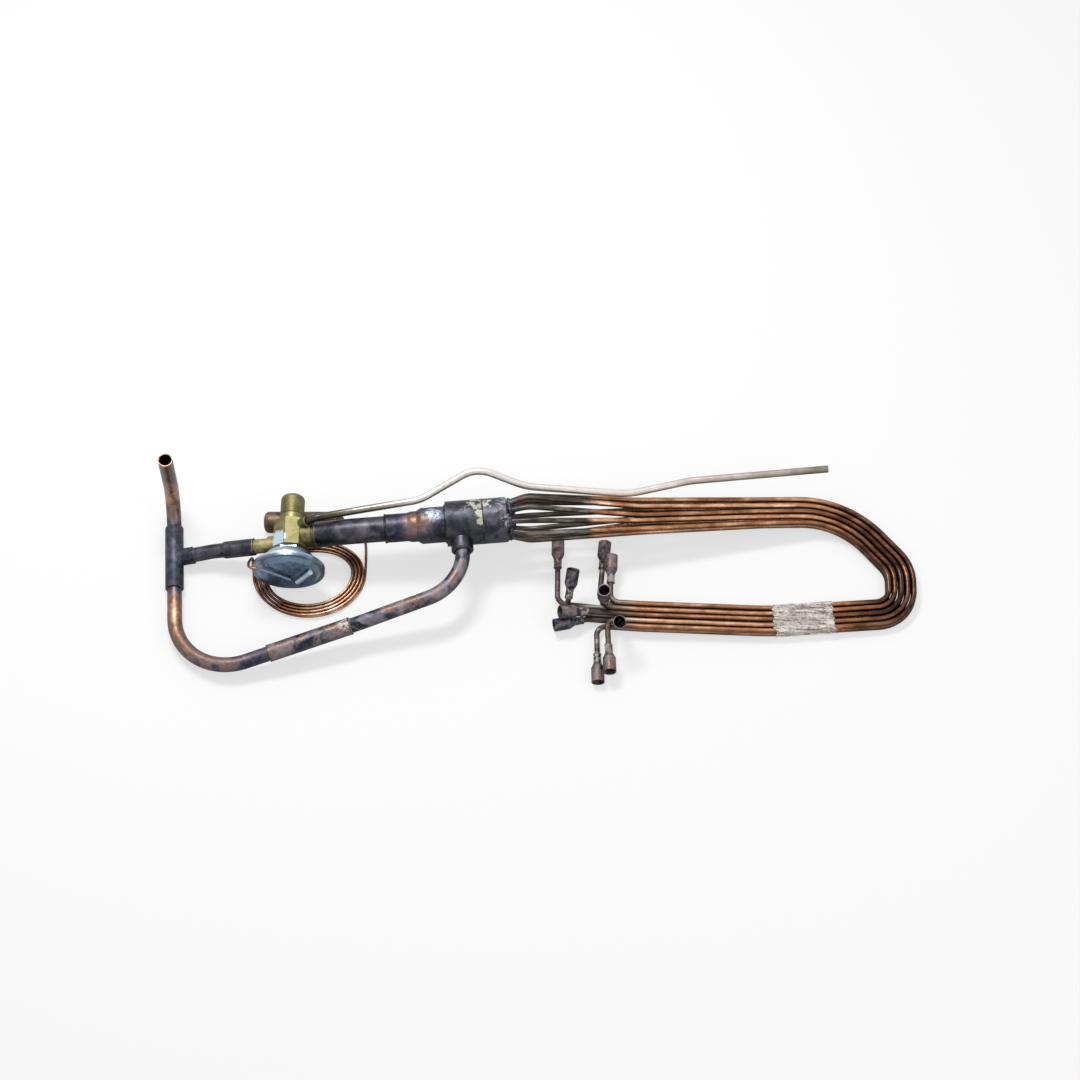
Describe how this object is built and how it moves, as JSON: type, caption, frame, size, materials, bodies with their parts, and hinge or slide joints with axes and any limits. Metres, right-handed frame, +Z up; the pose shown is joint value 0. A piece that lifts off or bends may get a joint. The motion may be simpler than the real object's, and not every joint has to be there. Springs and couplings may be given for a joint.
{
  "type": "expansion valve and distributor assembly",
  "caption": "Thermostatic expansion valve brazed to a side connector and a refrigerant distributor, with looped feeder tubes, a bypass tube, an equalizer line and a capillary with its bulb",
  "frame": {"origin": "middle of the assembly's outline, on the surface it lies on", "axes": "+X from the liquid inlet to the bend of the feeder tubes, +Y from the bypass tube to the equalizer line, +Z up from the surface"},
  "size_m": [0.656, 0.1868, 0.0865],
  "materials": {
    "copper": "bare copper, satin, browned by handling and by brazing heat",
    "oxidised_copper": "copper with a dark mottled oxide left by the brazing torch",
    "brass": "machined brass",
    "plated_steel": "zinc plated pressed steel",
    "stainless_steel": "machined stainless steel",
    "packing": "matt black packing",
    "film": "crinkled clear wrapping film"
  },
  "bodies": {
    "brazed_assembly": {"liquid_inlet_tube": "oxidised_copper", "inlet_tee": "oxidised_copper", "valve_inlet_tube": "oxidised_copper", "bypass_tube_lower": "copper", "bypass_sleeve": "oxidised_copper", "bypass_tube_upper": "oxidised_copper", "valve_body": "brass", "inlet_strainer": "stainless_steel", "valve_seat": "stainless_steel", "element_lower_housing": "plated_steel", "element_upper_housing": "plated_steel", "element_ferrule": "plated_steel", "diaphragm": "stainless_steel", "stem_bonnet": "brass", "stem_packing": "packing", "packing_nut": "brass", "capillary_tube": "copper", "sensing_bulb": "copper", "equalizer_line": "oxidised_copper", "outlet_tube": "oxidised_copper", "outlet_adapter": "oxidised_copper", "side_connector": "oxidised_copper", "distributor_nozzle": "brass", "nozzle_retaining_ring": "stainless_steel", "distributor_body": "oxidised_copper", "bundle_wrap": "film", "feeder_tube_01": "copper", "feeder_tube_02": "copper", "feeder_tube_03": "copper", "feeder_tube_04": "copper", "feeder_tube_05": "copper", "feeder_tube_06": "copper", "feeder_tube_07": "copper", "feeder_tube_08": "copper", "feeder_tube_09": "copper", "feeder_tube_10": "copper", "feeder_stub_01": "oxidised_copper", "feeder_stub_02": "oxidised_copper", "feeder_stub_03": "oxidised_copper", "feeder_stub_04": "oxidised_copper", "feeder_stub_05": "oxidised_copper", "feeder_stub_06": "oxidised_copper", "feeder_stub_07": "oxidised_copper", "feeder_stub_08": "oxidised_copper", "feeder_stub_09": "oxidised_copper", "feeder_stub_10": "oxidised_copper"},
    "valve_pin_group": {"buffer_plate": "stainless_steel", "push_rods": "stainless_steel", "pin_carrier": "stainless_steel", "valve_pin": "stainless_steel"},
    "spring_guide": {"spring_guide": "stainless_steel", "superheat_spring": "stainless_steel"},
    "adjusting_stem": {"adjusting_stem": "stainless_steel"},
    "cap_gasket": {"cap_gasket": "packing"},
    "seal_cap": {"seal_cap": "brass"}
  },
  "joints": [
    {"name": "valve_pin_lift", "type": "slide", "parent": "brazed_assembly", "child": "valve_pin_group", "axis": [0, 1, 0], "range_m": [-0.0008, 0]},
    {"name": "adjusting_stem_turn", "type": "hinge", "parent": "brazed_assembly", "child": "adjusting_stem", "pos_m": [-0.2141, 0.05425, 0.031], "axis": [0, 1, 0], "range_deg": [0, 900]},
    {"name": "spring_guide_travel", "type": "slide", "parent": "brazed_assembly", "child": "spring_guide", "axis": [0, 1, 0], "range_m": [0, 0.0025]},
    {"name": "seal_cap_travel", "type": "slide", "parent": "brazed_assembly", "child": "cap_gasket", "axis": [0, 1, 0], "range_m": [0, 0.009]},
    {"name": "seal_cap_turn", "type": "hinge", "parent": "cap_gasket", "child": "seal_cap", "pos_m": [-0.2141, 0.06325, 0.031], "axis": [0, 1, 0], "range_deg": [0, 2160]}
  ],
  "couplings": [
    {"joint": "adjusting_stem_turn", "follows": "spring_guide_travel", "rad_per_m": 6283.2},
    {"joint": "seal_cap_travel", "follows": "seal_cap_turn", "m_per_rad": 0.00023873}
  ]
}
